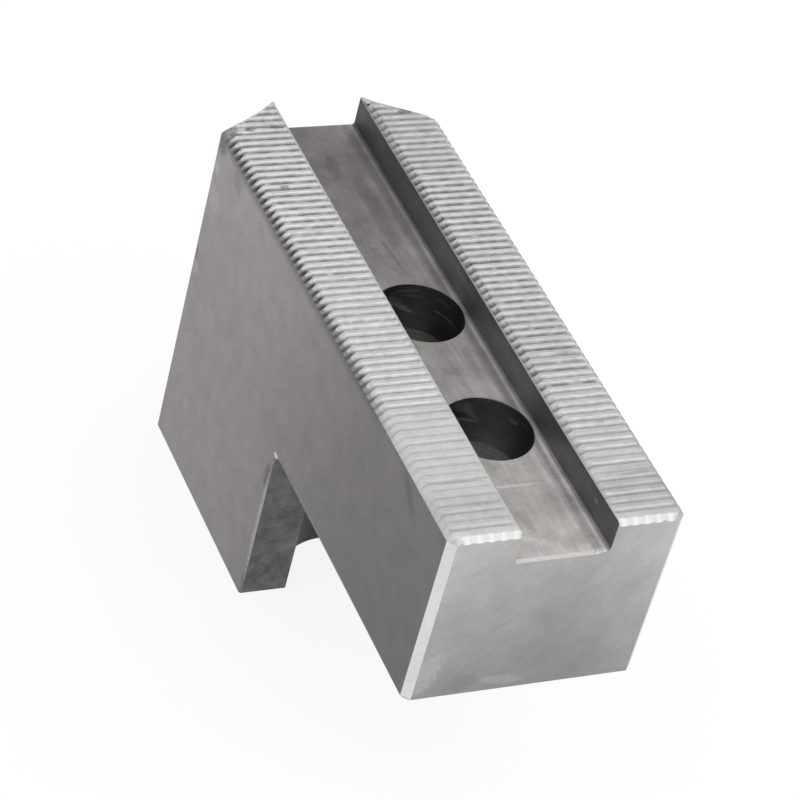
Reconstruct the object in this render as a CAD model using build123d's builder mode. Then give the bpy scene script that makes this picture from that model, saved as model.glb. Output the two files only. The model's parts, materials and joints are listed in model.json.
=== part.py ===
from build123d import *
from math import radians, tan
import os

# Reverse top jaw for a power chuck, machined from one block of steel.
# It stands on the sole of its foot, with the serrated mounting face up.
# X runs across the two rails, Y along the jaw from its square end to its tip, Z up.
# The origin is the middle of the jaw's footprint, at the level of the sole.

# Block
jaw_width = 35.0
jaw_length = 95.0
jaw_height = 58.0
body_thickness = 29.5
foot_length = 44.5
step_fillet = 2.5

# Pointed end: a flat middle with one slanted face on each side
tip_flat_width = 15.0
tip_face_angle = 30.0

# Slot for the tenon of the nut that the screws pull on, open at both ends
tenon_width = 14.0
tenon_clearance = 0.05
slot_depth = 5.0
slot_corner_radius = 0.4

# Two screws through the slot's floor, with their heads let in from below
first_screw_from_end = 25.5
screw_spacing = 25.0
screw_hole_diameter = 13.0
head_pocket_diameter = 20.0
head_seat_thickness = 8.0

# Serrations across both rails
tooth_pitch = 1.5
groove_angle = 60.0
crest_flat = 0.42
root_flat = 0.15
first_groove_from_end = 2.3

# Broken edges
end_edge_chamfer = 1.1
rail_front_chamfer = 0.8
rail_outer_chamfer = 1.2
rail_slot_chamfer = 0.6
slot_front_chamfer = 0.4
small_edge_break = 0.35

# Levels and places worked out from the sizes above
end_y = -jaw_length / 2
tip_y = jaw_length / 2
crest_z = jaw_height
underside_z = jaw_height - body_thickness
foot_face_y = tip_y - foot_length
slot_width = tenon_width + 2 * tenon_clearance
slot_floor_z = crest_z - slot_depth
head_seat_z = slot_floor_z - head_seat_thickness
near_screw_y = end_y + first_screw_from_end
far_screw_y = near_screw_y + screw_spacing
tip_setback = (jaw_width - tip_flat_width) / 2 * tan(radians(tip_face_angle))
shoulder_y = tip_y - tip_setback

# A groove is a cut-off V: its depth follows from its mouth, its root and its angle
groove_mouth = tooth_pitch - crest_flat
groove_depth = (groove_mouth - root_flat) / 2 / tan(radians(groove_angle / 2))
groove_count = int((jaw_length - first_groove_from_end) / tooth_pitch) + 1
first_groove_y = end_y + first_groove_from_end

# Cutters run past the faces that they leave through
overrun = 1.0


with BuildPart() as jaw:
    # The side view is an L: a long body with a foot under its pointed half
    with BuildSketch(Plane.YZ) as side_view:
        with BuildLine():
            Polyline(
                (end_y, crest_z),
                (end_y, underside_z),
                (foot_face_y, underside_z),
                (foot_face_y, 0),
                (tip_y, 0),
                (tip_y, crest_z),
                close=True,
            )
        make_face()
    extrude(amount=jaw_width / 2, both=True)

    # The corner under the body is rounded, so that the foot doesn't crack off
    step_corner = jaw.edges().filter_by(Axis.X).sort_by_distance((0, foot_face_y, underside_z))[0]
    fillet(step_corner, step_fillet)

    # Two slanted faces take off the corners of the tip over the whole height
    with BuildSketch(Plane.XY) as tip_corners:
        for side in (-1, 1):
            with BuildLine():
                Polyline(
                    (side * tip_flat_width / 2, tip_y),
                    (side * jaw_width / 2, shoulder_y),
                    (side * (jaw_width / 2 + overrun), shoulder_y),
                    (side * (jaw_width / 2 + overrun), tip_y + overrun),
                    (side * tip_flat_width / 2, tip_y + overrun),
                    close=True,
                )
            make_face()
    extrude(amount=jaw_height, mode=Mode.SUBTRACT)

    # The square end has wider chamfers on its two upright edges
    upright_edges = jaw.edges().filter_by(Axis.Z).group_by(Axis.Y)[0]
    chamfer(upright_edges, end_edge_chamfer)

    # Every other outer edge below the rails is just broken
    inner_step_edges = jaw.edges().filter_by(Axis.X).filter_by(
        lambda e: abs(e.center().Y - foot_face_y) <= step_fillet + small_edge_break
        and e.center().Z > underside_z / 2
        and e.center().Z < crest_z - small_edge_break
    )
    chamfered_corner_edges = jaw.edges().filter_by(Axis.Z).filter_by(
        lambda e: e.center().Y < end_y + 2 * end_edge_chamfer
    )
    crest_edges = jaw.faces().sort_by(Axis.Z)[-1].edges()
    kept_edges = inner_step_edges + chamfered_corner_edges + crest_edges
    chamfer([e for e in jaw.edges() if e not in kept_edges], small_edge_break)

    # Slot for the tenon, with the cutter's corner radius along its floor
    with BuildSketch(Plane.XZ.offset(-tip_y - overrun)) as slot_section:
        with Locations((0, (crest_z + overrun + slot_floor_z) / 2)):
            Rectangle(slot_width, slot_depth + overrun)
        floor_corners = slot_section.vertices().group_by(Axis.Z)[0]
        fillet(floor_corners, slot_corner_radius)
    extrude(amount=jaw_length + 2 * overrun, mode=Mode.SUBTRACT)

    # The fronts of the rails and of the slot's floor are chamfered too
    end_face = jaw.faces().sort_by(Axis.Y)[0]
    chamfer(end_face.edges().filter_by(Axis.X).group_by(Axis.Z)[-1], rail_front_chamfer)
    end_face = jaw.faces().sort_by(Axis.Y)[0]
    slot_front = end_face.edges().filter_by(Axis.X).filter_by(
        lambda e: abs(e.center().Z - slot_floor_z) < slot_corner_radius
    )
    chamfer(slot_front, slot_front_chamfer)

    # Long chamfers on the four edges of the rails, as triangles run along the jaw
    with BuildSketch(Plane.XZ.offset(-tip_y - overrun)) as rail_edges:
        for edge_x, inwards, size in (
            (-jaw_width / 2, 1, rail_outer_chamfer),
            (-slot_width / 2, -1, rail_slot_chamfer),
            (slot_width / 2, 1, rail_slot_chamfer),
            (jaw_width / 2, -1, rail_outer_chamfer),
        ):
            with BuildLine():
                Polyline(
                    (edge_x, crest_z - size),
                    (edge_x + inwards * (size + overrun), crest_z + overrun),
                    (edge_x - inwards * overrun, crest_z + overrun),
                    (edge_x - inwards * overrun, crest_z - size - overrun),
                    close=True,
                )
            make_face()
    extrude(amount=jaw_length + 2 * overrun, mode=Mode.SUBTRACT)

    # Screw holes, and pockets for the heads, which open downwards.
    # The far pocket is half inside the foot and runs down it as an open groove.
    with BuildSketch(Plane.XY.offset(head_seat_z - overrun)) as screw_holes:
        with Locations((0, near_screw_y), (0, far_screw_y)):
            Circle(screw_hole_diameter / 2)
    extrude(amount=head_seat_thickness + slot_depth + 2 * overrun, mode=Mode.SUBTRACT)
    with BuildSketch(Plane.XY.offset(-overrun)) as head_pockets:
        with Locations((0, near_screw_y), (0, far_screw_y)):
            Circle(head_pocket_diameter / 2)
    extrude(amount=head_seat_z + overrun, mode=Mode.SUBTRACT)

    # Serrations: the same V is cut across both rails at each place
    with BuildSketch(Plane.YZ.offset(-jaw_width / 2 - overrun)) as serrations:
        for i in range(groove_count):
            groove_y = first_groove_y + i * tooth_pitch
            with BuildLine():
                Polyline(
                    (groove_y - root_flat / 2, crest_z - groove_depth),
                    (groove_y + root_flat / 2, crest_z - groove_depth),
                    (groove_y + groove_mouth / 2, crest_z),
                    (groove_y + groove_mouth / 2, crest_z + overrun),
                    (groove_y - groove_mouth / 2, crest_z + overrun),
                    (groove_y - groove_mouth / 2, crest_z),
                    close=True,
                )
            make_face()
    extrude(amount=jaw_width + 2 * overrun, mode=Mode.SUBTRACT)

jaw.part.label = "reverse_jaw"

os.makedirs("parts", exist_ok=True)
export_step(jaw.part, "parts/reverse_jaw.step")
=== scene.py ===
import json
from math import radians, tan

import bmesh
import bpy
import numpy as np
from mathutils import Matrix, Vector


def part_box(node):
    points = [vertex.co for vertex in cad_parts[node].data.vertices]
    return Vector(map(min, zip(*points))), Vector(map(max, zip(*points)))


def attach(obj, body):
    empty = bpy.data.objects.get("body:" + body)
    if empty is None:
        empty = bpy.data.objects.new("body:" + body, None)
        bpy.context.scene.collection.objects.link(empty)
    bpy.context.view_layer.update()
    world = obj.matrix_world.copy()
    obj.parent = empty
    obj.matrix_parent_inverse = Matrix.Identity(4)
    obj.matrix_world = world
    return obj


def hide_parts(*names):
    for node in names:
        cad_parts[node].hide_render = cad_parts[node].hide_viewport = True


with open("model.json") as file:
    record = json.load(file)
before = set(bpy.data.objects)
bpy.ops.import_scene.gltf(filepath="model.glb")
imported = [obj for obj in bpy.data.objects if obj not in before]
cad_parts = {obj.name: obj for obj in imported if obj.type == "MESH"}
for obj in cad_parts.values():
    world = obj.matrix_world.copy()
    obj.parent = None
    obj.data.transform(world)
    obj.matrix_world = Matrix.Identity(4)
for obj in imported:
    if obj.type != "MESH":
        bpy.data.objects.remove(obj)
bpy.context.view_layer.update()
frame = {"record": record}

# The reverse jaw is milled and ground from one block of steel, with no separate pieces.
# Its skin is laid as surfaces that meet edge to edge: two toothed rails, the channel between
# them, the sides, the step below, two screw ways and the two ends. They are then welded.
mm = 0.001
jaw_low, jaw_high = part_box("reverse_jaw")
end_y = jaw_low.y
tip_y = jaw_high.y
side_x = jaw_high.x
mounts = {mount["name"]: mount for mount in frame["record"]["mounts"]}
foot_face_y = mounts["foot_inner_face"]["pos_m"][1]
near_screw_y = mounts["near_head_pocket"]["pos_m"][1]
far_screw_y = mounts["far_head_pocket"]["pos_m"][1]

step_radius = 2.5 * mm
edge_break = 0.35 * mm
end_corner = 1.1 * mm
channel_front_slope = 0.4 * mm
tip_flat_half = 7.5 * mm
tip_slant = tan(radians(30))
shoulder_y = tip_y - (side_x - tip_flat_half) * tip_slant
shoulder_break = 0.2 * mm

tooth_pitch = 1.5 * mm
first_groove_y = end_y + 2.3 * mm
groove_count = 62

# Lengthwise stations: twelve to a tooth, so that each flank and crest keeps its edges.
# Every fourth one also carries the plain faces, and those are moved to the jaw's own corners.
# A station within a hair of a place is taken to be at it.
hair = 0.01 * mm
tooth_samples = np.array([-0.75, -0.62, -0.54, -0.42, -0.28, -0.13, 0, 0.13, 0.28, 0.42, 0.54, 0.62]) * mm
grooves_y = first_groove_y + tooth_pitch * np.arange(groove_count)
stations = (grooves_y[:, None] + tooth_samples).ravel()
front_stations = np.linspace(end_y, stations[0], 8, endpoint=False)
stations = np.concatenate([front_stations, stations[stations < tip_y - hair], [tip_y]])
plain = stations[::4].copy()
for corner_y in (
    end_y + channel_front_slope,
    end_y + end_corner,
    near_screw_y,
    foot_face_y - step_radius,
    foot_face_y,
    far_screw_y,
    shoulder_y - shoulder_break,
    shoulder_y + shoulder_break,
    tip_y - edge_break,
):
    nearest = 1 + np.argmin(np.abs(plain[1:-1] - corner_y))
    plain[nearest] = corner_y
stations = np.interp(stations, stations[::4], plain)


def outline_half(y):
    """Half the jaw's width at y: cut corners at the square end, parallel sides, and a tip whose
    two faces close in by the slant's tangent, with the shoulder between them broken."""
    y_points = [end_y, end_y + end_corner, shoulder_y - shoulder_break, shoulder_y + shoulder_break, tip_y]
    half_points = [side_x - end_corner, side_x, side_x, side_x - shoulder_break / tip_slant, tip_flat_half]
    return np.interp(y, y_points, half_points)


skin_points = []
skin_dirt_and_shade = []
skin_faces = []
skin_finish = []


def lay(x, y, z, groove=0.0, rim=0.0):
    """Add a grid of points, given by its rows and columns of x, y and z, and return their numbers.
    groove and rim are how far each point is darkened, in the grooves and along rubbed edges, from 0
    for clean steel to 1 or more for the dark colour alone: in the grooves by dirt and painted shade,
    along the edges by painted shade."""
    x, y, z, groove, rim = np.broadcast_arrays(x, y, z, groove, rim)
    first = sum(len(block) for block in skin_points)
    skin_points.append(np.stack([x, y, z], axis=-1).reshape(-1, 3))
    skin_dirt_and_shade.append(np.stack([groove, rim], axis=-1).reshape(-1, 2))
    return first + np.arange(x.size).reshape(x.shape)


def close(numbers, finish):
    """Add faces, one for each row of corner numbers, in one finish or in one for each face."""
    skin_faces.append(numbers)
    skin_finish.append(np.broadcast_to(finish, len(numbers)))


def weave(numbers, finish, keep=True):
    """Join each point of a grid to its neighbours by four-sided faces, or only where keep is true."""
    quads = np.stack([numbers[:-1, :-1], numbers[1:, :-1], numbers[1:, 1:], numbers[:-1, 1:]], axis=-1)
    kept = np.broadcast_to(keep, quads.shape[:2])
    close(quads[kept], np.broadcast_to(finish, kept.shape)[kept])


def lace(fine, coarse, finish):
    """Close the strip between a line of points and one with a quarter as many: each face takes
    two points of the coarse line and the five that run beside them."""
    beside = np.arange(len(coarse) - 1)[:, None] * 4 + np.arange(5)
    close(np.column_stack([fine[beside], coarse[1:], coarse[:-1]]), finish)


# The finishes, numbered in the order in which the jaw's materials are added.
TOOTHED, FRONT, CHANNEL, WALL, SIDE, END, BROKEN, SAWN, BORED = range(9)


# Serrations: V grooves of sixty degrees, cut across both rails by one form cutter.
# Their crests were ground, the rails' long edges were rubbed round, and toward the square end
# the grooves are nearly closed by wear, with a few that still stand out.
crest_z = jaw_high.z
channel_half = 7.05 * mm
rail_front_slope = 0.8 * mm
groove_mouth = 1.08 * mm
groove_root = 0.15 * mm
flank_slant = tan(radians(30))
groove_depth = (groove_mouth - groove_root) / 2 / flank_slant
chance = np.random.default_rng(17)
groove_shift = chance.normal(0, 0.018, (2, groove_count)) * mm
groove_strength = chance.uniform(0.9, 1.06, (2, groove_count))
wobble_phase = chance.uniform(0, 2 * np.pi, (2, groove_count + 1, 3))

# How far open the grooves are, from 0, worn flat, to 1, as cut: by their place along the jaw in
# millimetres from its middle, on the left rail and on the right one. Those near the square end
# differ, and a few stand out by a factor, on the right rail by a share of it.
open_share = [
    np.interp(grooves_y / mm, open_places, shares)
    for open_places, shares in (
        ([-47, -30, -22, -14, 0, 12, 24, 47], [0.07, 0.12, 0.2, 0.42, 0.58, 0.72, 0.82, 0.92]),
        ([-47, -34, -26, -14, 0, 14, 30, 47], [0.12, 0.15, 0.36, 0.65, 0.74, 0.79, 0.9, 0.92]),
    )
]
right_rail_share = 0.6
for groove, extra in ((0, 2.6), (2, 1.5), (3, 1.4), (6, 1.8), (8, 1.4)):
    open_share[0][groove] *= extra
    open_share[1][groove] *= 1 + right_rail_share * (extra - 1)
uneven = chance.uniform(-0.5, 0.6, (2, groove_count))
uneven_from = -8 * mm
uneven_fade = 14 * mm
open_share = np.array(open_share) * (1 + uneven * np.clip((uneven_from - grooves_y) / uneven_fade, 0, 1))

# What is left of a groove's mouth and depth where it is worn flat, and how much its corners are
# rounded in millimetres: the least, and what wear adds.
worn_mouth = 0.55
worn_depth = 0.06
least_round = 0.03
worn_round = 0.14
# Waves in a groove's flanks, each as radians to the millimetre and size in millimetres.
flank_waves = ((1.3, 0.022), (2.9, 0.016), (5.1, 0.012))
# Dirt and painted shade darken a groove with its depth, in patches: the product of two
# waves along it.
dirt_gain = 1.5
patch_pace = (0.9, 2.1)
patch_strength = 0.25
# The crest in front of the first groove stays whole, and burrs close the grooves beside the
# channel: how far from it they reach, and over what length the groove then opens, on each rail.
first_crest = 0.62 * mm
first_crest_fade = 0.1 * mm
closed_at_wall = ((0.1 * mm, 0.6 * mm), (0.05 * mm, 0.25 * mm))


def groove_cut(rail, y, inset):
    """Depth of the serrations at y, on a rail, at a distance inset from the channel, and how dark
    dirt and painted shade make them there. Each groove is a V: its half mouth less the distance from
    its middle, over the tangent of thirty degrees. At the crest and at the root it is rounded, as half
    the sum of a depth and the root of its square plus the rounding's. Burrs close it beside the channel."""
    number = np.clip(np.rint((y - first_groove_y) / tooth_pitch), 0, groove_count - 1).astype(int)
    centre = grooves_y[number] + groove_shift[rail, number]
    phase = wobble_phase[rail, number]
    along = inset / mm
    ripple = mm * sum(
        size * np.sin(pace * along + phase[..., wave]) for wave, (pace, size) in enumerate(flank_waves)
    )
    share = open_share[rail, number]
    half_mouth = groove_mouth / 2 * (worn_mouth + (1 - worn_mouth) * share) + ripple
    raw = (half_mouth - np.abs(y - centre)) / flank_slant
    soft = (least_round + worn_round * (1 - np.minimum(share, 1))) * mm
    opened = (raw + np.sqrt(raw**2 + soft**2)) / 2
    deepest = groove_depth * (worn_depth + (1 - worn_depth) * share) * groove_strength[rail, number]
    rest = deepest - opened
    cut = np.clip(deepest - (rest + np.sqrt(rest**2 + soft**2)) / 2, 0, None)
    shut, opening = closed_at_wall[rail]
    there = np.clip((y - first_groove_y + first_crest) / first_crest_fade, 0, 1)
    there = there * np.clip((inset - shut) / opening, 0, 1)
    patchy = np.sin(patch_pace[0] * along + phase[..., 2]) * np.sin(patch_pace[1] * along + phase[..., 0])
    # Dirt and painted shade: a groove is darkened with its depth, in patches.
    dirt = np.clip(dirt_gain * cut / deepest, 0, 1) * share * (1 + patch_strength * patchy)
    return cut * there, dirt * there


# How far the rubbed edges reach across the crests and down the faces, in millimetres, and how
# strong the painted shade along them is, at distances from the square end: the left rail first, and
# on each rail the outer edge before the inner one.
rub_places = np.array([0, 5, 13, 24, 32, 95]) * mm + end_y
rub_across = (
    ([0.9, 1.2, 1.4, 1.5, 1.55, 1.55], [0.2, 0.3, 0.4, 0.4, 0.4, 0.4]),
    ([1.0, 1.0, 1.0, 0.95, 0.9, 0.85], [0.25, 0.6, 1.2, 1.5, 1.6, 1.6]),
)
rub_down = (
    ([0.8, 0.85, 0.8, 0.82, 0.85, 0.85], [0.15, 0.2, 0.25, 0.25, 0.25, 0.25]),
    ([0.9, 0.9, 0.9, 0.85, 0.8, 0.75], [0.2, 0.22, 0.24, 0.25, 0.25, 0.25]),
)
rub_dark = (
    ([0, 0.03, 0.08, 0.3, 1, 1], [0, 0, 0, 0, 0, 0]),
    ([0, 0, 0.1, 0.2, 0.3, 0.4], [0.2, 0.35, 0.5, 0.55, 0.6, 1.0]),
)
# No edge takes up more than this share of a rail's width, and the faces run out below the edges.
widest_rub = 0.3
run_out = 0.35 * mm
# The power of a rubbed edge's cosine and sine: 1 is a round and 2 a flat chamfer.
outer_flatness = 1.75
inner_flatness = 1.25
# Up a rubbed edge, from 0 at its foot to 1 at the crest: how much of the grooves' depth is left,
# how dark the painted shade is on the teeth, a dark reflection on the edge's lower part, and how
# dark the painted shade is at the grooves' ends, where it darkens them at all.
outer_bite = ([0, 0.1, 0.3], [0.2, 0.45, 1])
outer_dirt = ([0, 0.3, 0.42, 0.55], [0.56, 0.6, 0.34, 0])
outer_groove_dirt = ([0, 0.1, 0.3, 0.6, 0.95], [0.1, 0.4, 1, 1, 0])
inner_bite_gain = 3
inner_least_bite = 0.2
inner_dirt = ([0, 0.5, 0.75], [0.7, 0.56, 0])
inner_groove_dirt = ([0, 1], [0.8, 0.32])
# The side's top line takes this share of the painted shade, as a dark band just below the edge. The painted
# shade at the grooves' ends has a most and a gain on the grooves' darkness.
side_dirt = 0.38
groove_dirt_most = 0.95
groove_dirt_gain = 1.3
# How far the grooves' ends are bent along the jaw: to each unit down the outer edge, and to each
# unit across the inner one, on the left rail and on the right one.
outer_lean = 0.8
inner_lean = (0.2, 0.52)
# The rails' front edge was broken by hand, in beads: their pitch and shape, the share of the
# slope's height between them, what they add to it, and how dark the painted shade in the gaps is.
bead_pitch = 1.75 * mm
bead_power = 0.6
gap_slope = 0.68
bead_slope = 0.37
gap_dirt = 0.22
# At the tip the grooves fade out beside the slanted faces, from the shoulder on: how much of the
# rubbed edge they leave whole, and over what distance they fade, on each rail. Where a rail is
# narrower than full_room, its grooves are shallower.
slant_start = 1.2 * mm
slant_shut = (0, 1)
slant_fade = (0.25 * mm, 1.5 * mm)
full_room = 2.5 * mm
# The left rail's outer edge has no teeth at the square end, as far as worn_to, and they grow
# out of it over worn_fade.
worn_to = end_y + 12 * mm
worn_fade = 12 * mm
# Knocks that flattened the left rail's teeth beside its shoulder: distance from the jaw's
# middle, place along the jaw, and reach both ways.
knocks = ((17.3 * mm, 41.7 * mm, 2.6 * mm, 2.6 * mm), (14.3 * mm, 41.1 * mm, 2.4 * mm, 0.9 * mm))
# A row of faces belongs to a slope or a corner if it ends no further past it than this.
row_slack = 0.05 * mm


def toothed_rail(rail, sign):
    """A rail as a profile carried along the jaw: up the outer side, over a rubbed edge, across
    the crest, over a second edge and down the channel's wall. A rubbed edge is a quarter turn,
    with its cosine and sine raised to a power. Every point is then pushed in against its own
    normal by the depth of the groove there, and the front is cut back by its slope's height."""
    y = stations[:, None]
    outer = outline_half(y)
    room = outer - channel_half
    limit = widest_rub * room
    on_slant = np.clip((y - shoulder_y) / slant_start, 0, 1)
    outer_edge, inner_edge, outer_fall, inner_fall = (
        np.minimum(np.interp(y, rub_places, size) * mm, limit) for size in rub_across[rail] + rub_down[rail]
    )
    outer_rim, inner_rim = (np.interp(y, rub_places, size) for size in rub_dark[rail])
    turn = np.linspace(0, np.pi / 2, 7)
    across, up = np.cos(turn) ** outer_flatness, np.sin(turn) ** outer_flatness
    inner_across, inner_up = np.cos(turn[::-1]) ** inner_flatness, np.sin(turn[::-1]) ** inner_flatness
    rail_share = np.linspace(0, 1, 25)[1:-1]
    # Zeros for the points across the crest, and for a single line down either face.
    crest = 0 * rail_share
    side = 0 * y
    top_from = outer - outer_edge
    top_to = channel_half + inner_edge
    half = np.hstack([
        outer,
        outer - outer_edge * (1 - across),
        top_from + (top_to - top_from) * rail_share,
        channel_half + inner_edge * (1 - inner_across),
        channel_half + side,
    ])
    drop = np.hstack([
        outer_fall + run_out,
        outer_fall * (1 - up),
        side + crest,
        inner_fall * (1 - inner_up),
        inner_fall + run_out,
    ])
    lean = np.concatenate([[1], np.cos(turn), crest, -np.cos(turn[::-1]), [-1]])
    rise = np.concatenate([[0], np.sin(turn), 1 + crest, np.sin(turn[::-1]), [0]])
    inner_bite = np.clip(inner_bite_gain * inner_up, inner_least_bite, 1)
    bite = np.concatenate([[0], np.interp(up, *outer_bite), 1 + crest, inner_bite, [0]])
    inner_bend = inner_lean[rail] * np.clip(channel_half + inner_edge - half, 0, None)
    outer_bend = np.where(half > channel_half + room / 2, outer_lean * drop, 0)
    cut, groove = groove_cut(rail, y + inner_bend + outer_bend, half - channel_half)
    from_slope = outer - half - slant_shut[rail] * outer_edge
    kept = 1 - on_slant * np.clip(1 - from_slope / slant_fade[rail], 0, 1)
    worn_front = np.clip((worn_to - y) / worn_fade + 1, 0, 1) * (1 - rail)
    kept = kept * (1 - worn_front * np.concatenate([[1], 1 - up, crest, 0 * inner_up, [0]]))
    for knock_half, knock_y, reach_across, reach_along in knocks[:2 - 2 * rail]:
        away = np.hypot((half - knock_half) / reach_across, (y - knock_y) / reach_along)
        kept = kept * np.clip(2 * away - 1, 0, 1)
    cut = cut * bite * kept
    groove = groove * kept
    # Painted shade along the rubbed edges: a dark reflection on their lower part and on the side just below,
    # shade at the grooves' ends, and in the gaps between the front's beads. The grooves' darkening is doubled
    # on the edges.
    rim = np.hstack([
        outer_rim * side_dirt,
        outer_rim * np.interp(up, *outer_dirt) * (1 - on_slant),
        side + crest,
        inner_rim * np.interp(inner_up, *inner_dirt),
        side,
    ])
    in_grooves = np.hstack([
        side,
        outer_rim * np.interp(up, *outer_groove_dirt) * (1 - on_slant),
        side + crest,
        inner_rim * np.interp(inner_up, *inner_groove_dirt),
        side,
    ])
    rim = np.maximum(rim, groove_dirt_most * in_grooves * np.clip(groove_dirt_gain * groove, 0, 1))
    on_edge = np.concatenate([[0], 1 - up, crest, 1 - inner_up, [0]])
    bead = np.abs(np.sin(np.pi * (half - channel_half) / bead_pitch)) ** bead_power
    front = np.clip(rail_front_slope * (gap_slope + bead_slope * bead) - (y - end_y), 0, None)
    rim = np.maximum(rim, gap_dirt * (1 - bead) * (front > 0))
    half = half - lean * cut * np.clip(room / full_room, 0, 1)
    drop = drop + rise * cut
    drop[:, 1:-1] = np.maximum(drop, front)[:, 1:-1]
    numbers = lay(sign * half, y, crest_z - drop, groove * (1 + on_edge), rim)
    finish = np.full((len(stations) - 1, half.shape[1] - 1), TOOTHED)
    finish[stations[1:] < end_y + rail_front_slope + row_slack] = FRONT
    finish[:, 0] = np.where(stations[1:] < end_y + end_corner + row_slack, BROKEN, SIDE)
    finish[:, -1] = WALL
    weave(numbers, finish)
    return numbers


rails = [toothed_rail(rail, sign) for rail, sign in enumerate((-1, 1))]

# The channel between the rails takes the nut's tenon. It was milled lengthwise,
# so its floor has a small radius along both walls and a broken edge at the square end.
channel_z = mounts["mounting_screws"]["pos_m"][2]
channel_corner = 0.4 * mm
wall_levels = np.array([55.6, 54.6, 53.6]) * mm
floor_columns = 12
floor_half = channel_half - channel_corner
corner_turn = np.linspace(0, np.pi / 2, 4)
wall_x = channel_half + 0 * wall_levels[:-1]
corner_half = floor_half + channel_corner * np.cos(corner_turn)
corner_up = channel_corner * (1 - np.sin(corner_turn))
floor_x = np.linspace(-floor_half, floor_half, floor_columns + 1)
# The floor's broken front edge stops at this line, short of the right wall.
broken_to_x = 5.1 * mm
floor_x[-2] = broken_to_x
channel_x = np.concatenate([
    -wall_x, [-channel_half], -corner_half, floor_x[1:-1], corner_half[::-1], [channel_half], wall_x,
])
level_above = np.concatenate([
    wall_levels - channel_z, corner_up, 0 * floor_x[1:-1], corner_up[::-1], wall_levels[::-1] - channel_z,
])
front_drop = np.clip(channel_front_slope - (plain - end_y), 0, None)[:, None]
sinks = (channel_x < broken_to_x + hair) & (level_above < channel_corner + hair)
channel = lay(channel_x, plain[:, None], channel_z + level_above - front_drop * sinks)
wall_columns = len(wall_levels)
floor_from = wall_columns + len(corner_turn) - 1
floor_to = floor_from + floor_columns


def span(centre_y, reach):
    """First and last plain station of the stretch that reaches as far on both sides of centre_y."""
    return (np.argmin(np.abs(plain - centre_y + reach)), np.argmin(np.abs(plain - centre_y - reach)))


def round_block(numbers, first_row, last_row, first_column, last_column):
    """The points round a block of a grid, in one turn, as their row, column and number."""
    rows = np.concatenate([
        np.arange(first_row, last_row),
        np.full(last_column - first_column, last_row),
        np.arange(last_row, first_row, -1),
        np.full(last_column - first_column, first_row),
    ])
    columns = np.concatenate([
        np.full(last_row - first_row, first_column),
        np.arange(first_column, last_column),
        np.full(last_row - first_row, last_column),
        np.arange(last_column, first_column, -1),
    ])
    return rows, columns, numbers[rows, columns]


def joined(loops, finish):
    """Weave rings of equal length together, each one closed on itself."""
    grid = np.stack(loops)
    weave(np.column_stack([grid, grid[:, :1]]), finish)


# Round each hole, this far along the floor, its cells are left out for rings to fill.
ring_reach = 8.0 * mm
screw_rows = {y: span(y, ring_reach) for y in (near_screw_y, far_screw_y)}
channel_cells = np.ones((len(plain) - 1, len(channel_x) - 1), bool)
for first_row, last_row in screw_rows.values():
    channel_cells[first_row:last_row, floor_from:floor_to] = False
cell_columns = np.arange(len(channel_x) - 1)
is_wall = (cell_columns < wall_columns) | (cell_columns >= len(channel_x) - 1 - wall_columns)
on_front = np.zeros_like(channel_cells)
on_front[0, floor_from:floor_to - 1] = True
weave(channel, FRONT, on_front)
weave(channel, CHANNEL, channel_cells & ~is_wall & ~on_front)
weave(channel, WALL, channel_cells & is_wall)
lace(rails[0][:, -1], channel[:, 0], WALL)
lace(rails[1][:, -1], channel[:, -1], WALL)

# Sides: flat and ground, from the chamfered rails down to the step's outline,
# which runs along the body's underside, round the inner corner and down the foot.
underside_z = mounts["body_underside"]["pos_m"][2]
side_top = 55.6 * mm
side_rows = 18
# Where each station meets the step's outline: in the corner they are spread round its turn, and
# over the foot none comes nearer to the foot's edge than least_step.
least_step = 0.2 * mm
corner_rows = (plain > foot_face_y - step_radius - hair) & (plain < foot_face_y + hair)
corner_angle = np.linspace(0, np.pi / 2, corner_rows.sum())
break_turn = step_radius + edge_break
low_y = np.where(plain > foot_face_y, np.maximum(plain, foot_face_y + edge_break + least_step), plain)
low_z = np.where(plain > foot_face_y, underside_z - step_radius, underside_z + edge_break)
low_y[corner_rows] = foot_face_y - step_radius + break_turn * np.sin(corner_angle)
low_z[corner_rows] = underside_z - step_radius + break_turn * np.cos(corner_angle)
side_share = np.linspace(0, 1, side_rows + 1)
foot_from = np.flatnonzero(corner_rows)[-1]
foot_levels = np.linspace(underside_z - step_radius, edge_break, side_rows + 1)


def jaw_side(sign, rail_edge):
    """One side as a grid of plain stations by rows, each row a share of the way from the step's
    outline up to the rail, and below it the foot's side, level row by level row."""
    y = low_y[:, None] + (plain - low_y)[:, None] * side_share
    z = low_z[:, None] + (side_top - low_z)[:, None] * side_share
    body = lay(sign * outline_half(y), y, z)
    finish = np.where(plain[1:] < end_y + end_corner + row_slack, BROKEN, SIDE)
    weave(body, finish[:, None])
    lace(rail_edge, body[:, -1], finish)
    foot_y = low_y[foot_from:, None]
    foot = lay(sign * outline_half(foot_y), foot_y, foot_levels)
    weave(foot, SIDE)
    return body, foot


sides = [jaw_side(-1, rails[0][:, 0]), jaw_side(1, rails[1][:, 0])]

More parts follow.
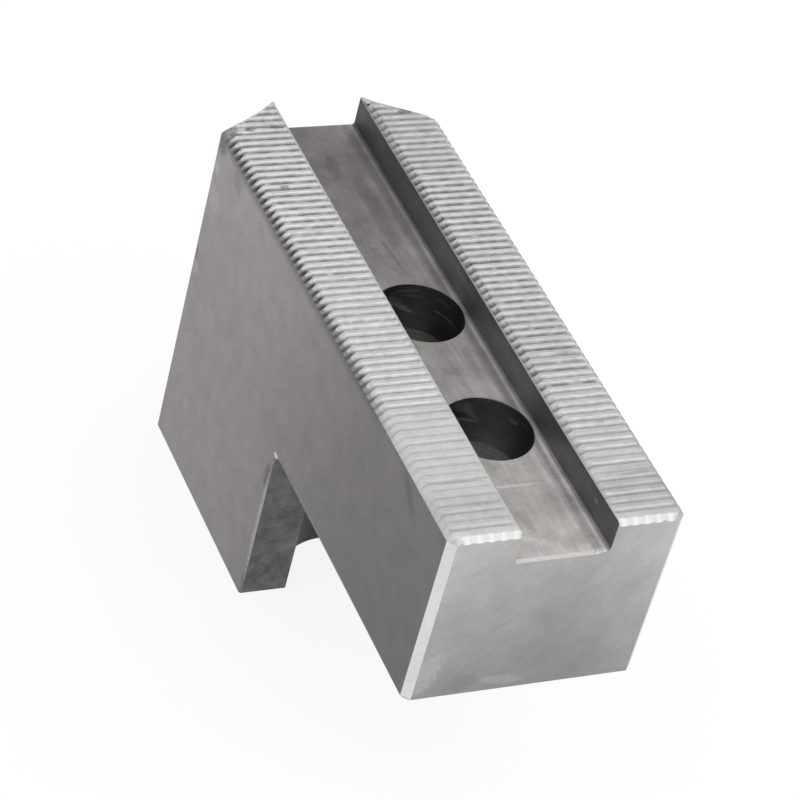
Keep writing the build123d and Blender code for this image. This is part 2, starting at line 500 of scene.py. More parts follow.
# The step below: the body's underside, the rounded inner corner, the foot's sawn inner face and
# the sole. It is one strip, bent along the L of the side view, with every outer edge broken.
under = plain[plain < foot_face_y - step_radius - hair]
sole_y = low_y[foot_from + 1:]
path_y = np.concatenate([
    under,
    foot_face_y - step_radius + step_radius * np.sin(corner_angle),
    np.full(len(foot_levels) - 1, foot_face_y),
    [foot_face_y + edge_break],
    sole_y,
])
path_z = np.concatenate([
    [underside_z + edge_break],
    np.full(len(under) - 1, underside_z),
    underside_z - step_radius + step_radius * np.cos(corner_angle),
    foot_levels[1:],
    0 * sole_y,
    [edge_break],
])
inner_y = np.concatenate([
    under,
    low_y[corner_rows],
    np.full(len(foot_levels) - 1, foot_face_y + edge_break),
    [foot_face_y + edge_break],
    sole_y,
])
inner_z = np.concatenate([
    np.full(len(under), underside_z + edge_break),
    low_z[corner_rows],
    foot_levels[1:],
    np.full(len(sole_y) + 1, edge_break),
])
# Round the pockets the strip's middle columns, which reach this far to both sides, are left out
# for rings to fill.
pocket_reach = 11.5 * mm
outside_pocket = 5
across_pocket = 24
step_x = np.concatenate([
    np.linspace(-side_x + edge_break, -pocket_reach, outside_pocket + 1)[:-1],
    np.linspace(-pocket_reach, pocket_reach, across_pocket + 1),
    np.linspace(pocket_reach, side_x - edge_break, outside_pocket + 1)[1:],
])
# Its first and last lines lie in the jaw's end faces, and reach their full width.
step_half = outline_half(path_y) - edge_break
step_half[[0, -1]] = outline_half(path_y[[0, -1]])
step = lay(step_half[:, None] * step_x / step_x[-1], path_y[:, None], path_z[:, None])
left_edge, right_edge = (lay(sign * outline_half(inner_y), inner_y, inner_z) for sign in (-1, 1))
weave(np.column_stack([left_edge, step[:, 0]]), SIDE)
weave(np.column_stack([step[:, -1], right_edge]), SIDE)

# Screw ways: a drilled hole through the channel's floor, and a wider pocket below it for the
# head. The far pocket is half inside the foot, so its wall runs on down the foot as a groove.
hole_radius = mounts["mounting_screws"]["dims"]["hole_r_mm"] * mm
pocket_radius = mounts["near_head_pocket"]["dims"]["r_mm"] * mm
seat_thickness = 8.0 * mm
head_seat_z = channel_z - seat_thickness
sink = 0.08 * mm
bore_rows = 8
# The cells left out of the step for the far pocket end this far past it.
pocket_margin = 2 * mm
corner_first = len(under)
corner_last = corner_first + len(corner_angle) - 1
sole_first = corner_last + len(foot_levels)
pocket_columns = (outside_pocket, outside_pocket + across_pocket)
far_reach = pocket_radius + pocket_margin
far_from = int(np.argmin(np.abs(path_y[:corner_first] - (far_screw_y - far_reach))))
far_to = sole_first + int(np.argmin(np.abs(path_y[sole_first:] - (far_screw_y + far_reach))))
near_from, near_to = span(near_screw_y, pocket_reach)
step_cells = np.ones((len(path_y) - 1, len(step_x) - 1), bool)
step_cells[near_from:near_to, slice(*pocket_columns)] = False
step_cells[far_from:far_to, slice(*pocket_columns)] = False
foot_cells = np.zeros_like(step_cells)
foot_cells[corner_first:sole_first - 1] = True
weave(step, SIDE, step_cells & ~foot_cells)
weave(step, SAWN, step_cells & foot_cells)


def step_height(y):
    """Height of the step's roof at y: level under the body, then down round the inner corner,
    whose height over its middle is the root of its radius squared less the way past its middle."""
    past = np.clip(y - (foot_face_y - step_radius), 0, step_radius)
    return underside_z - step_radius + np.sqrt(step_radius**2 - past**2)


def ring(centre_y, radius, angle, z):
    """A ring of points about a screw's axis, at the angles and heights given."""
    return lay(radius * np.cos(angle), centre_y + radius * np.sin(angle), z)


def seat(hole_loop, hole_angle, pocket_loop, pocket_angle):
    """The flat seat between a hole and its pocket, as four faces. Each ring is cut at the point
    nearest to each of the four diagonals: the least angle between the point and the diagonal."""
    cuts = []
    for loop_angle in (hole_angle, pocket_angle):
        away = np.angle(np.exp(1j * (loop_angle[:, None] - radians(135) + radians(90) * np.arange(4))))
        cuts.append(np.argmin(np.abs(away), axis=0))
    for quarter in range(4):
        outer, inner = (
            np.roll(loop, -cut[quarter])[: (cut[(quarter + 1) % 4] - cut[quarter]) % len(loop) + 1]
            for loop, cut in ((pocket_loop, cuts[1]), (hole_loop, cuts[0]))
        )
        close(np.concatenate([outer, inner[::-1]])[None], BORED)


def closed_in(block_edge, x, y, z, centre_y, radius, finish):
    """Close the gap round a flat block to a circle about a screw's axis, by way of a ring of the
    means of its points and the circle's. Returns each point's angle about the axis."""
    angle = np.arctan2(y - centre_y, x)
    circle_x = radius * np.cos(angle)
    circle_y = centre_y + radius * np.sin(angle)
    halfway = lay((x + circle_x) / 2, (y + circle_y) / 2, z)
    joined([block_edge, halfway, lay(circle_x, circle_y, z)], finish)
    return angle


def bored(centre_y, radius, angle, mouth_z):
    """Rings that carry a bore from its mouth to the head's seat, at even levels."""
    levels = np.linspace(mouth_z, head_seat_z, bore_rows + 1)
    return [ring(centre_y, radius, angle, level) for level in levels]


def drilled_hole(centre_y):
    """A hole from the channel's floor to the head's seat, its edge broken by a small countersink.
    Returns its last ring and each point's angle."""
    rows, columns, block_edge = round_block(channel, *screw_rows[centre_y], floor_from, floor_to)
    mouth_radius = hole_radius + sink
    angle = closed_in(block_edge, channel_x[columns], plain[rows], channel_z, centre_y, mouth_radius, CHANNEL)
    loops = bored(centre_y, hole_radius, angle, channel_z - sink)
    joined([ring(centre_y, mouth_radius, angle, channel_z)] + loops, BORED)
    return loops[-1], angle


def near_pocket():
    """The near screw's pocket, a plain counterbore from the underside up to the seat. Returns its
    last ring and each point's angle."""
    rows, columns, block_edge = round_block(step, near_from, near_to, *pocket_columns)
    x, y = step_x[columns], path_y[rows]
    angle = closed_in(block_edge, x, y, underside_z, near_screw_y, pocket_radius, SIDE)
    loops = bored(near_screw_y, pocket_radius, angle, underside_z)
    joined(loops, BORED)
    return loops[-1], angle


def far_pocket():
    """The far screw's pocket. Its edge lies on the step's roof in front and on the sole behind,
    joined by the two upright edges of the groove that it leaves in the foot's inner face: there
    half its width is the root of its radius squared less the way to its axis squared."""
    rows, columns, block_edge = round_block(step, far_from, far_to, *pocket_columns)
    x, y, z = step_x[columns], path_y[rows], path_z[rows]
    edge_half = np.sqrt(pocket_radius**2 - (far_screw_y - foot_face_y) ** 2)
    angle = np.arctan2(y - far_screw_y, x * edge_half / pocket_reach)
    circle_x = pocket_radius * np.cos(angle)
    circle_y = far_screw_y + pocket_radius * np.sin(angle)
    on_roof = rows <= corner_last
    circle_z = np.where(on_roof, step_height(circle_y), z)
    middle_y = (y + circle_y) / 2
    middle_z = np.where(on_roof, step_height(middle_y), z)
    halfway = lay((x + circle_x) / 2, middle_y, middle_z)
    edge = lay(circle_x, circle_y, circle_z)
    grid = np.stack([block_edge, halfway, edge])
    grid = np.column_stack([grid, grid[:, :1]])
    on_foot = (rows > corner_last) & (rows <= sole_first)
    on_face = (on_foot | np.roll(on_foot, -1))[None].repeat(2, axis=0)
    weave(grid, SAWN, on_face)
    weave(grid, SIDE, ~on_face)

    around = (rows <= corner_last) | (rows >= sole_first)
    share = np.linspace(0, 1, bore_rows + 1)[:, None]
    low = np.where(rows[around] <= corner_last, circle_z[around], foot_levels[0])
    upper = lay(circle_x[around], circle_y[around], low + (head_seat_z - low) * share)
    joined(list(upper), BORED)

    behind = np.flatnonzero((rows == corner_last) | (rows >= sole_first))
    levels = np.append(foot_levels, 0)[:, None] + 0 * circle_x[behind]
    levels[-1, [0, -1]] = edge_break
    lower = lay(circle_x[behind], circle_y[behind], levels)
    weave(lower, BORED)
    return upper[-1], angle[around]


for centre_y, pocket in ((near_screw_y, near_pocket), (far_screw_y, far_pocket)):
    seat(*drilled_hole(centre_y), *pocket())

# The two ends close the skin. Each one is flat, with the channel's notch in its upper edge.
left_body, left_foot = sides[0]
right_body, right_foot = sides[1]
close(np.concatenate([
    left_body[0], rails[0][0], channel[0], rails[1][0, ::-1], right_body[0, ::-1], step[0, -2:0:-1],
])[None], END)
close(np.concatenate([
    left_foot[-1, ::-1], left_body[-1, 1:], rails[0][-1], channel[-1], rails[1][-1, ::-1],
    right_body[-1, ::-1], right_foot[-1, 1:], step[-1, -2:0:-1],
])[None], SIDE)

# Weld: the surfaces are joined where they meet, and stand for the solid jaw.
weld_reach = 0.001 * mm
sharp_from = radians(32)
places = np.concatenate(skin_points)
jaw_mesh = bpy.data.meshes.new("reverse_jaw_skin")
jaw_mesh.from_pydata(places.tolist(), [], [face for block in skin_faces for face in block.tolist()])
jaw_mesh.polygons.foreach_set("material_index", np.concatenate(skin_finish))
for dirt_and_shade_layers, amounts in zip(("groove_dirt", "rim_dirt"), np.concatenate(skin_dirt_and_shade).T):
    jaw_mesh.attributes.new(dirt_and_shade_layers, "FLOAT", "POINT").data.foreach_set("value", amounts.copy())
welded = bmesh.new()
welded.from_mesh(jaw_mesh)
bmesh.ops.remove_doubles(welded, verts=welded.verts, dist=weld_reach)
bmesh.ops.recalc_face_normals(welded, faces=welded.faces)
welded.to_mesh(jaw_mesh)
welded.free()
jaw_mesh.shade_smooth()
jaw_mesh.set_sharp_from_angle(angle=sharp_from)
jaw = bpy.data.objects.new("reverse_jaw_steel", jaw_mesh)
bpy.context.scene.collection.objects.link(jaw)
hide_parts("reverse_jaw")
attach(jaw, "root")


# The steel's finishes: one bare steel, cut and ground in different ways on each surface.
# Each is a base colour that drifts in soft blotches, in fine grain and along its cutter's marks,
# with tones that change along the jaw and across and up it, some of them painted shade and light.
# The sides' and the channel wall's base colours are darker partly by finish and partly as painted
# shade.
noise_detail = 4.0
grain_scale = 1400.0
grain_roughness = 0.55
relief_height = 0.1 * mm
# The tone is darkest and lightest where its noise is this far below and above the middle.
tone_half = 0.16
# A mark's edge is torn by a noise times a gain plus a shift, and eased between two depths.
tear_scale = 1500.0
tear_roughness = 0.65
tear_gain = 3.4
tear_shift = -0.7
mark_eased = (0.1, 0.5)


def stain_and_painted_light(nodes, links, colour, amount, target_colour):
    """A colour turned toward another, or a grey, by an amount from 0 to 1, as one Mix node: for stains,
    for dirt and painted shade, and for painted glints.
    """
    mixed = nodes.new("ShaderNodeMix")
    mixed.data_type = "RGBA"
    mixed.inputs["B"].default_value = (*np.broadcast_to(target_colour, 3), 1)
    links.new(amount, mixed.inputs["Factor"])
    links.new(colour, mixed.inputs["A"])
    return mixed.outputs["Result"]


def toned(nodes, links, colour, along, tones):
    """Tones, as pairs of a place in millimetres and a share of the colour, along one axis. They
    are the stops of a ramp from the first place to the last, and the colour is multiplied by it."""
    places = [place * mm for place, share in tones]
    spread = nodes.new("ShaderNodeMapRange")
    spread.inputs["From Min"].default_value = places[0]
    spread.inputs["From Max"].default_value = places[-1]
    links.new(along, spread.inputs["Value"])
    ramp = nodes.new("ShaderNodeValToRGB")
    stops = ramp.color_ramp.elements
    for place in places[1:-1]:
        stops.new((place - places[0]) / (places[-1] - places[0]))
    for stop, (place, share) in zip(stops, tones):
        stop.color = (share, share, share, 1)
    links.new(spread.outputs["Result"], ramp.inputs["Fac"])
    product = nodes.new("ShaderNodeMix")
    product.data_type = "RGBA"
    product.blend_type = "MULTIPLY"
    product.inputs["Factor"].default_value = 1.0
    links.new(colour, product.inputs["A"])
    links.new(ramp.outputs["Color"], product.inputs["B"])
    return product.outputs["Result"]


def spotted(nodes, links, colour, place, ragged, centre, reach, target_colour, strength, turn=(0, 0, 0)):
    """A mark or a painted glint on the surface: the colour turns into the target colour inside an
    ellipsoid about the centre, which reaches so far along its three axes after its turn. Its edge is
    torn by a noise that multiplies the depth inside it, and eased."""
    shifted = nodes.new("ShaderNodeMapping")
    shifted.vector_type = "TEXTURE"
    shifted.inputs["Location"].default_value = [part * mm for part in centre]
    shifted.inputs["Rotation"].default_value = [radians(part) for part in turn]
    shifted.inputs["Scale"].default_value = [part * mm for part in reach]
    links.new(place, shifted.inputs["Vector"])
    ball = nodes.new("ShaderNodeTexGradient")
    ball.gradient_type = "SPHERICAL"
    links.new(shifted.outputs["Vector"], ball.inputs["Vector"])
    torn = nodes.new("ShaderNodeMath")
    torn.operation = "MULTIPLY"
    links.new(ball.outputs["Fac"], torn.inputs[0])
    links.new(ragged, torn.inputs[1])
    eased = nodes.new("ShaderNodeMapRange")
    eased.interpolation_type = "SMOOTHSTEP"
    eased.inputs["From Min"].default_value = mark_eased[0]
    eased.inputs["From Max"].default_value = mark_eased[1]
    eased.inputs["To Max"].default_value = strength
    links.new(torn.outputs["Value"], eased.inputs["Value"])
    return stain_and_painted_light(nodes, links, colour, eased.outputs["Result"], target_colour)


def steel_finish(name, colour, drift, marks, marks_turn=(0, 0, 0), shares=(0.45, 0.2, 0.35), blotch=140.0,
                 roughness=(0.36, 0.5), bump=0.06, along=(), dirt_and_shade_layers=(), spots=()):
    """Bare steel of a base colour that drifts by a share of itself either way. marks is how often
    the cutter's marks come along x, y and z, so the smallest of the three is the way they run, and
    shares is how much of the drift is in blotches, in grain and in those marks. The tones in along
    multiply the colour, each along its axis, some of them painted shade and light, and the dirt and
    painted shade from the attributes and the spots, some of them painted glints, are then laid over it."""
    finish = bpy.data.materials.new(name)
    finish.use_nodes = True
    nodes, links = finish.node_tree.nodes, finish.node_tree.links
    surface = nodes["Principled BSDF"]
    surface.inputs["Metallic"].default_value = 1.0
    place = nodes.new("ShaderNodeTexCoord").outputs["Object"]
    turned = nodes.new("ShaderNodeMapping")
    turned.inputs["Rotation"].default_value = [radians(part) for part in marks_turn]
    links.new(place, turned.inputs["Vector"])
    scaled = nodes.new("ShaderNodeMapping")
    scaled.inputs["Scale"].default_value = marks
    links.new(turned.outputs["Vector"], scaled.inputs["Vector"])
    layers = []
    for source, scale in ((place, blotch), (place, grain_scale), (scaled.outputs["Vector"], 1.0)):
        noise = nodes.new("ShaderNodeTexNoise")
        noise.inputs["Scale"].default_value = scale
        noise.inputs["Detail"].default_value = noise_detail
        noise.inputs["Roughness"].default_value = grain_roughness
        links.new(source, noise.inputs["Vector"])
        layers.append(noise.outputs["Fac"])
    total = None
    for layer, share in zip(layers, shares):
        weighed = nodes.new("ShaderNodeMath")
        weighed.operation = "MULTIPLY_ADD"
        weighed.inputs[1].default_value = share
        weighed.inputs[2].default_value = 0.0
        links.new(layer, weighed.inputs[0])
        if total:
            links.new(total, weighed.inputs[2])
        total = weighed.outputs["Value"]
    tone = nodes.new("ShaderNodeValToRGB")
    tone.color_ramp.elements[0].position = 0.5 - tone_half
    tone.color_ramp.elements[0].color = (*(part * (1 - drift) for part in colour), 1)
    tone.color_ramp.elements[1].position = 0.5 + tone_half
    tone.color_ramp.elements[1].color = (*(part * (1 + drift) for part in colour), 1)
    links.new(total, tone.inputs["Fac"])
    shade = tone.outputs["Color"]
    axes = nodes.new("ShaderNodeSeparateXYZ")
    links.new(place, axes.inputs["Vector"])
    for axis, tones in along:
        shade = toned(nodes, links, shade, axes.outputs[axis], tones)
    # Dirt and painted shade from the skin's attributes: dirt and shade in the grooves, painted shade along
    # the rubbed edges.
    for attribute, dark in dirt_and_shade_layers:
        dirt = nodes.new("ShaderNodeAttribute")
        dirt.attribute_name = attribute
        shade = stain_and_painted_light(nodes, links, shade, dirt.outputs["Fac"], dark)
    if spots:
        tatter = nodes.new("ShaderNodeTexNoise")
        tatter.inputs["Scale"].default_value = tear_scale
        tatter.inputs["Detail"].default_value = noise_detail
        tatter.inputs["Roughness"].default_value = tear_roughness
        links.new(place, tatter.inputs["Vector"])
        rougher = nodes.new("ShaderNodeMath")
        rougher.operation = "MULTIPLY_ADD"
        rougher.inputs[1].default_value = tear_gain
        rougher.inputs[2].default_value = tear_shift
        links.new(tatter.outputs["Fac"], rougher.inputs[0])
        for spot in spots:
            shade = spotted(nodes, links, shade, place, rougher.outputs["Value"], *spot)
    links.new(shade, surface.inputs["Base Color"])
    rubbed = nodes.new("ShaderNodeMapRange")
    rubbed.inputs["To Min"].default_value = roughness[0]
    rubbed.inputs["To Max"].default_value = roughness[1]
    links.new(layers[2], rubbed.inputs["Value"])
    links.new(rubbed.outputs["Result"], surface.inputs["Roughness"])
    relief = nodes.new("ShaderNodeBump")
    relief.inputs["Strength"].default_value = bump
    relief.inputs["Distance"].default_value = relief_height
    links.new(layers[2], relief.inputs["Height"])
    links.new(relief.outputs["Normal"], surface.inputs["Normal"])
    return finish


# Marks from use, and in the bores painted glints, each with its middle and its reach in millimetres,
# its colour, which is grey where it is one number, its strength, and its turn in degrees where it has one.
crest_marks = (
    ((-13.3, 41.1, 58), (1.2, 0.6, 1.5), 0.1, 0.75, (0, 0, 4)),
    ((-11.4, 41.6, 58), (1.0, 0.4, 1.5), 0.2, 0.6),
    ((-9.1, 41.5, 58), (1.9, 0.9, 1.5), 0.07, 0.8),
    ((-16.8, 42.2, 57.4), (2.4, 3.4, 2.5), 0.22, 0.75),
    ((-15.6, 40.2, 57.8), (1.4, 0.6, 1.5), 0.1, 0.6),
    ((-12.9, 27.0, 58), (1.2, 0.6, 1.5), 0.15, 0.7),
    ((12.8, 44.4, 58), (4.2, 0.8, 1.5), 0.3, 0.6, (0, 0, -30)),
    ((12.8, 39.0, 58), (12.0, 17.0, 9.0), (0.42, 0.42, 0.415), 0.4),
    ((13.0, 43.6, 58), (1.7, 0.7, 1.5), 0.1, 0.7),
    ((13.1, -28.1, 58), (0.9, 0.5, 1.5), 0.34, 0.5),
    ((10.5, 7.3, 58), (4.5, 0.5, 1.5), 0.12, 0.5, (0, 0, 2)),
    ((14.6, -13.5, 58), (2.4, 0.4, 1.5), 0.16, 0.4),
    ((13.5, -38.6, 58), (3.2, 0.4, 1.5), 0.24, 0.35, (0, 0, 3)),
    ((-12.5, -36.8, 58), (4.5, 0.25, 1.5), 0.2, 0.45),
    ((-10.5, -41.3, 58), (4.0, 0.2, 1.5), 0.25, 0.4),
)
side_marks = (
    ((-17.5, 40.5, 51.5), (1.5, 1.1, 1.3), (0.5, 0.5, 0.49), 0.45),
    ((-17.5, 39.6, 47.0), (1.5, 3.6, 2.6), (0.42, 0.41, 0.4), 0.35, (20, 0, 0)),
    ((-17.5, 40.6, 33.0), (1.5, 1.6, 1.6), (0.4, 0.39, 0.41), 0.35),
    ((-17.5, 41.2, 35.4), (1.5, 1.3, 1.9), (0.17, 0.17, 0.16), 0.5),
    ((-17.5, 41.8, 56.0), (2.5, 4.2, 2.4), 0.13, 0.75),
    ((-17.5, 33.0, 54.6), (1.5, 2.6, 1.6), (0.2, 0.205, 0.19), 0.6, (35, 0, 0)),
    ((-17.5, 22.0, 54.0), (1.5, 3.0, 1.4), (0.24, 0.235, 0.22), 0.4, (40, 0, 0)),
    ((-17.5, -35.0, 54.5), (1.5, 5.0, 1.3), 0.09, 0.5, (40, 0, 0)),
    ((-17.5, 2.2, 28.6), (1.5, 1.0, 0.6), (0.65, 0.65, 0.63), 0.8),
    ((-17.5, 3.6, 23.5), (1.5, 1.0, 3.0), 0.09, 0.7),
    ((-17.5, -23.0, 28.9), (1.5, 25.0, 0.3), (0.3, 0.3, 0.29), 0.6),
    ((-17.4, 3.0, 15.0), (0.7, 0.6, 15.0), (0.44, 0.44, 0.43), 0.6),
)
end_marks = (
    ((-3.5, -47.5, 30.6), (4.6, 1.5, 1.1), (0.5, 0.5, 0.49), 0.3, (0, 8, 0)),
    ((-15.5, -47.5, 33.5), (3.0, 1.5, 5.5), (0.5, 0.5, 0.49), 0.5, (0, 20, 0)),
    ((-9.5, -47.5, 31.0), (4.0, 1.5, 2.2), 0.2, 0.3),
    ((2.5, -47.5, 40.0), (5.0, 1.5, 2.5), (0.26, 0.26, 0.255), 0.3, (0, 35, 0)),
)
channel_marks = (
    ((-1.0, -33.5, 53), (5.2, 0.36, 1.5), (0.8, 0.79, 0.77), 0.35),
    ((2.3, 27.0, 53), (1.7, 13.0, 1.5), 0.12, 0.3),
    ((-0.4, 37.0, 53), (1.4, 4.5, 1.5), 0.1, 0.35, (0, 0, -12)),
    ((0.3, -11.5, 53), (0.8, 5.4, 1.5), (0.2, 0.195, 0.19), 0.3, (0, 0, 4)),
    ((3.2, -8.5, 53), (0.8, 4.6, 1.5), (0.2, 0.195, 0.19), 0.3, (0, 0, -3)),
    ((1.6, -7.5, 53), (0.5, 5.0, 1.5), (0.5, 0.48, 0.46), 0.3, (0, 0, 2)),
    ((2.6, 14.0, 53), (0.35, 6.0, 1.5), (0.42, 0.4, 0.39), 0.35, (0, 0, 2)),
    ((0.8, 16.0, 53), (0.45, 5.0, 1.5), 0.1, 0.35, (0, 0, 5)),
    ((-2.4, -40.5, 53), (0.8, 3.2, 1.5), (0.34, 0.33, 0.32), 0.4, (0, 0, 12)),
    ((5.6, -10.0, 53), (0.6, 45.0, 1.5), (0.2, 0.215, 0.205), 0.3),
)
wall_marks = (
    ((7.05, -41.0, 56.0), (1.5, 0.7, 0.4), 0.4, 0.5),
    ((7.05, -8.0, 54.6), (1.5, 6.0, 0.5), 0.16, 0.3, (-4, 0, 0)),
    ((7.05, 6.0, 56.4), (1.5, 7.0, 0.6), (0.34, 0.34, 0.335), 0.45, (3, 0, 0)),
)
# Painted glints in the bores: light streaks and crescents on their walls, where light would catch them.
bore_painted_glints = (
    ((-0.2, 9.4, 49.2), (3.8, 1.5, 0.6), (0.7, 0.67, 0.66), 0.5, (0, 28, 0)),
    ((-1.2, 9.4, 50.5), (2.6, 1.5, 0.45), (0.55, 0.52, 0.51), 0.45, (0, 24, 0)),
    ((0.4, 9.4, 51.7), (3.4, 1.5, 0.45), (0.42, 0.4, 0.39), 0.45, (0, -6, 0)),
    ((1.6, 9.2, 50.9), (2.8, 1.5, 0.3), (0.36, 0.34, 0.33), 0.4, (0, 4, 0)),
    ((5.85, 5.3, 49.35), (3.6, 0.9, 0.34), (0.5, 0.5, 0.49), 0.6, (0, 0, -69)),
    ((5.4, 6.6, 51.3), (2.2, 0.9, 0.5), (0.36, 0.36, 0.35), 0.4, (0, 0, -55)),
    ((-0.9, -15.6, 51.6), (2.9, 1.4, 1.3), (0.52, 0.56, 0.5), 0.4, (0, 35, 0)),
    ((0.6, -15.6, 50.2), (2.2, 1.4, 0.6), (0.45, 0.48, 0.42), 0.4, (0, 40, 0)),
    ((-0.3, -15.6, 49.1), (3.0, 1.4, 0.4), (0.45, 0.45, 0.44), 0.45, (0, 12, 0)),
    ((5.8, -19.0, 50.9), (1.1, 1.2, 0.55), (0.5, 0.5, 0.49), 0.4),
    ((6.4, -21.2, 51.7), (1.0, 1.2, 0.5), (0.45, 0.45, 0.44), 0.35),
)

# Tones along the jaw, across it and up it, each as places in millimetres and the share of the
# colour that is left there. Some of them are painted shade and light, as said above each.
# The crests: lightest at the square end, darker a few millimetres in, a little darker toward the tip, and a
# little darker on the right rail.
crest_tones = ((-47.5, 1.0), (-46, 0.95), (-44.5, 0.85), (-41, 0.8), (-37, 0.91), (-24, 0.92), (-16, 0.88),
               (-8, 0.86), (0, 0.9), (32, 0.9), (39, 0.86), (47.5, 0.82))
crest_band = ((-17.5, 1.0), (0, 1.0), (10, 0.93), (17.5, 0.92))
# The sides: painted shade, darker toward the square end and toward the bottom.
side_painted_shade_along = ((-47.5, 0.52), (-30, 0.55), (-20, 0.57), (-10, 0.65), (0, 0.75), (10, 0.86), (20, 0.93),
              (47.5, 1.0))
side_painted_shade_up = ((0, 0.8), (12, 0.84), (25, 0.86), (33, 0.87), (43, 0.93), (52, 0.99), (58, 1.0))
# The square end: painted shade, darker toward its bottom; across it, darker in its middle than at its sides.
end_painted_shade_up = ((28.5, 0.6), (36, 0.68), (45, 0.8), (52, 0.92), (58, 1.0))
end_band = ((-17.5, 0.96), (-12, 0.88), (-6, 0.85), (2, 0.8), (8, 0.83), (13, 0.91), (17.5, 0.98))
# The channel's floor: darker toward the tip. Across it, lighter toward the right wall, with painted light of
# the corner's radius there: a highlight line just short of the wall and painted shade against it.
channel_tones = ((-47.5, 0.93), (-43, 0.91), (-39, 0.74), (-34, 0.76), (-30, 0.78), (-20, 0.64), (-10, 0.57),
                 (0, 0.51), (15, 0.47), (22, 0.41), (30, 0.39), (37, 0.35), (43, 0.38), (47.5, 0.37))
channel_band = ((-7.05, 0.56), (0, 0.56), (1, 0.585), (2.5, 0.6), (3.5, 0.66), (4, 0.74), (4.4, 0.82),
                (4.75, 0.74), (5.05, 0.7), (5.6, 0.7), (6.0, 0.74), (6.2, 0.9), (6.4, 1.0), (6.58, 0.85),
                (6.75, 0.36), (7.05, 0.27))
# The channel's wall: darker toward both ends, and up it, darker at its foot and a little at its top.
wall_tones = ((-47.5, 0.63), (-35, 0.68), (-22, 0.85), (-7, 0.95), (8, 0.88), (22, 0.85), (38, 0.68),
              (43, 0.5), (47.5, 0.4))
# The front: darker at the channel's front edge than on the rails' slopes. The bores: darker deeper down.
front_fall = ((52.5, 0.67), (54, 0.67), (57, 1.0), (58, 1.0))
bore_fall = ((0, 0.2), (28, 0.24), (38, 0.5), (46, 0.58), (50, 0.68), (53, 0.76))
wall_fall = ((53, 0.5), (53.5, 0.66), (54.5, 0.72), (56, 0.86), (57.2, 0.82), (57.7, 0.7))

for finish in (
    steel_finish("ground_crests", (0.66, 0.66, 0.655), 0.15, (250, 6000, 6000), shares=(0.35, 0.3, 0.35),
                 blotch=330.0, bump=0.04,
                 along=((1, crest_tones), (0, crest_band)), spots=crest_marks,
                 dirt_and_shade_layers=(("groove_dirt", (0.2, 0.2, 0.195)), ("rim_dirt", 0.04))),
    steel_finish("ground_front", (0.605, 0.605, 0.6), 0.1, (600, 6000, 6000), along=((2, front_fall),),
                 dirt_and_shade_layers=(("rim_dirt", (0.16, 0.16, 0.155)),)),
    steel_finish("milled_channel", (1.09, 1.04, 1.015), 0.26, (3000, 90, 3000), roughness=(0.52, 0.66),
                 shares=(0.55, 0.15, 0.3), blotch=260.0, along=((1, channel_tones), (0, channel_band)),
                 spots=channel_marks),
    # The wall's and the sides' base colours are set darker partly by finish and partly as painted shade.
    steel_finish("milled_wall", (0.318, 0.325, 0.328), 0.16, (4000, 260, 3000), blotch=320.0,
                 roughness=(0.52, 0.66), along=((1, wall_tones), (2, wall_fall)), spots=wall_marks),
    steel_finish("ground_side", (0.321, 0.303, 0.298), 0.13, (4000, 300, 3000), shares=(0.5, 0.22, 0.28),
                 blotch=300.0, along=((1, side_painted_shade_along), (2, side_painted_shade_up)), spots=side_marks,
                 dirt_and_shade_layers=(("rim_dirt", 0.04),)),
    steel_finish("ground_end", (0.572, 0.577, 0.562), 0.12, (300, 3000, 3000), marks_turn=(0, 35, 0),
                 blotch=260.0, along=((2, end_painted_shade_up), (0, end_band)), spots=end_marks),
    steel_finish("broken_edge", (0.74, 0.74, 0.73), 0.1, (300, 3000, 3000)),
    steel_finish("sawn_face", (0.146, 0.147, 0.14), 0.42, (900, 2500, 2500), shares=(0.6, 0.15, 0.25),
                 blotch=420.0, roughness=(0.5, 0.7), bump=0.4),
    steel_finish("bored_wall", (0.2, 0.2, 0.195), 0.5, (220, 220, 5000), bump=0.25, along=((2, bore_fall),),
                 spots=bore_painted_glints),
):
    jaw_mesh.materials.append(finish)

# Floor: a wide sheet of white paper that the jaw stands on. The eye and polished metal see most
# of it as plain white, and the rest as lit paper, which keeps a soft part of the jaw's shadow.
floor_reach = 3.0
plain_white_share = 0.88
floor_mesh = bpy.data.meshes.new("pale_floor")
floor_mesh.from_pydata(
    [(-floor_reach, -floor_reach, 0), (floor_reach, -floor_reach, 0),
     (floor_reach, floor_reach, 0), (-floor_reach, floor_reach, 0)],
    [], [(0, 1, 2, 3)],
)
floor = bpy.data.objects.new("pale_floor", floor_mesh)
bpy.context.scene.collection.objects.link(floor)
paper = bpy.data.materials.new("pale_paper")
paper.use_nodes = True
paper_nodes, paper_links = paper.node_tree.nodes, paper.node_tree.links
sheet = paper_nodes["Principled BSDF"]
sheet.inputs["Base Color"].default_value = (0.98, 0.98, 0.98, 1)
sheet.inputs["Roughness"].default_value = 0.9
sheet.inputs["Specular IOR Level"].default_value = 0.1
white = paper_nodes.new("ShaderNodeEmission")
white.inputs["Strength"].default_value = 1.0
ray = paper_nodes.new("ShaderNodeLightPath")
seen = ray.outputs["Is Camera Ray"]
for other in ("Is Glossy Ray", "Is Transmission Ray"):
    either = paper_nodes.new("ShaderNodeMath")
    either.operation = "MAXIMUM"
    paper_links.new(seen, either.inputs[0])
    paper_links.new(ray.outputs[other], either.inputs[1])
    seen = either.outputs["Value"]
white_share = paper_nodes.new("ShaderNodeMath")
white_share.operation = "MULTIPLY"
white_share.inputs[1].default_value = plain_white_share
paper_links.new(seen, white_share.inputs[0])
paper_mix = paper_nodes.new("ShaderNodeMixShader")
paper_links.new(white_share.outputs["Value"], paper_mix.inputs["Fac"])
paper_links.new(sheet.outputs["BSDF"], paper_mix.inputs[1])
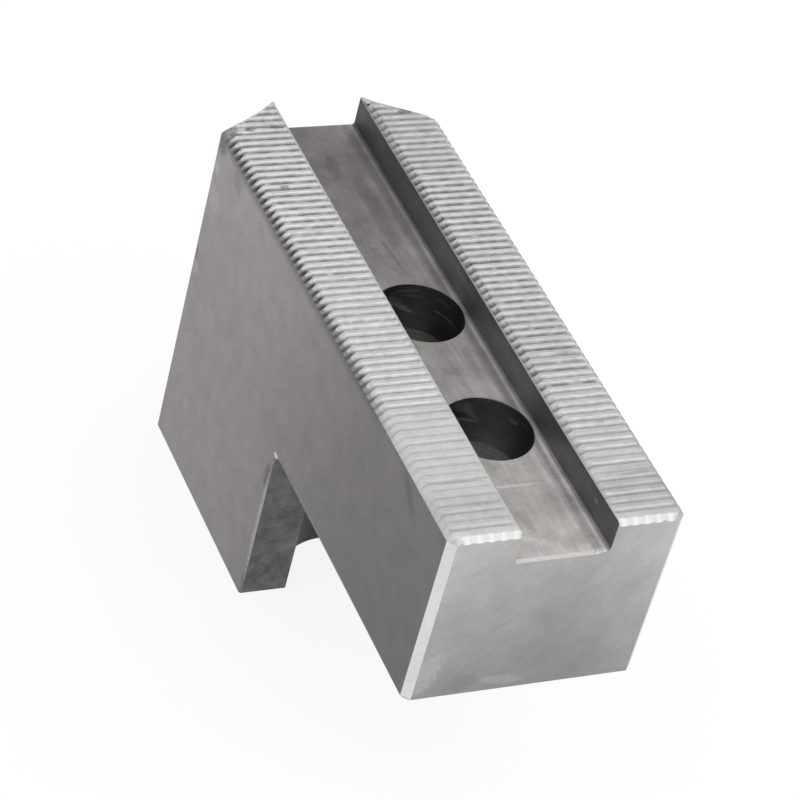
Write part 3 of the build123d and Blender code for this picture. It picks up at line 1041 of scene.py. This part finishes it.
paper_links.new(white.outputs["Emission"], paper_mix.inputs[2])
paper_links.new(paper_mix.outputs["Shader"], paper_nodes["Material Output"].inputs["Surface"])
floor_mesh.materials.append(paper)

# Light: a soft pale dome, which brightens from the horizon up to half its height, and one wide
# lamp in front, on the right.
horizon_shade = 0.5
brightening = (0.05, 0.5)
lamp_width = 0.9
lamp_distance = 0.9
lamp_power = 2.1
world = bpy.data.worlds.new("studio_dome")
bpy.context.scene.world = world
world.use_nodes = True
dome, dome_links = world.node_tree.nodes, world.node_tree.links
way = dome.new("ShaderNodeTexCoord")
split = dome.new("ShaderNodeSeparateXYZ")
dome_links.new(way.outputs["Generated"], split.inputs["Vector"])
by_height = dome.new("ShaderNodeValToRGB")
by_height.color_ramp.elements[0].position = brightening[0]
by_height.color_ramp.elements[0].color = (horizon_shade, horizon_shade, horizon_shade, 1)
by_height.color_ramp.elements[1].position = brightening[1]
by_height.color_ramp.elements[1].color = (1, 1, 1, 1)
dome_links.new(split.outputs["Z"], by_height.inputs["Fac"])
dome_links.new(by_height.outputs["Color"], dome["Background"].inputs["Color"])
dome["Background"].inputs["Strength"].default_value = 1.0

lamp_data = bpy.data.lights.new("wide_lamp", "AREA")
lamp_data.shape = "RECTANGLE"
lamp_data.size = lamp_width
lamp_data.size_y = lamp_width
lamp_data.energy = lamp_power
lamp = bpy.data.objects.new("wide_lamp", lamp_data)
bpy.context.scene.collection.objects.link(lamp)
lamp_way = Vector((0.414, -0.622, 0.665))
lamp_turn = lamp_way.to_track_quat("Z", "Y").to_matrix().to_4x4()
lamp.matrix_world = Matrix.Translation(lamp_way * lamp_distance) @ lamp_turn

# Camera: above the square end's left corner, rolled as the photograph is.
camera_data = bpy.data.cameras.new("camera")
camera_data.sensor_width = 36.0
camera_data.lens = 143.11
camera = bpy.data.objects.new("camera", camera_data)
bpy.context.scene.collection.objects.link(camera)
camera_place = Vector((-0.189961, -0.303953, 0.322432))
camera_right = Vector((0.90633148, -0.36583428, 0.21149117))
camera_ahead = Vector((0.4137042, 0.66622183, -0.62048152))
camera_axes = Matrix((camera_right, camera_right.cross(camera_ahead), -camera_ahead)).transposed()
camera.matrix_world = Matrix.Translation(camera_place) @ camera_axes.to_4x4()
bpy.context.scene.camera = camera

bpy.context.scene.view_settings.view_transform = "Standard"
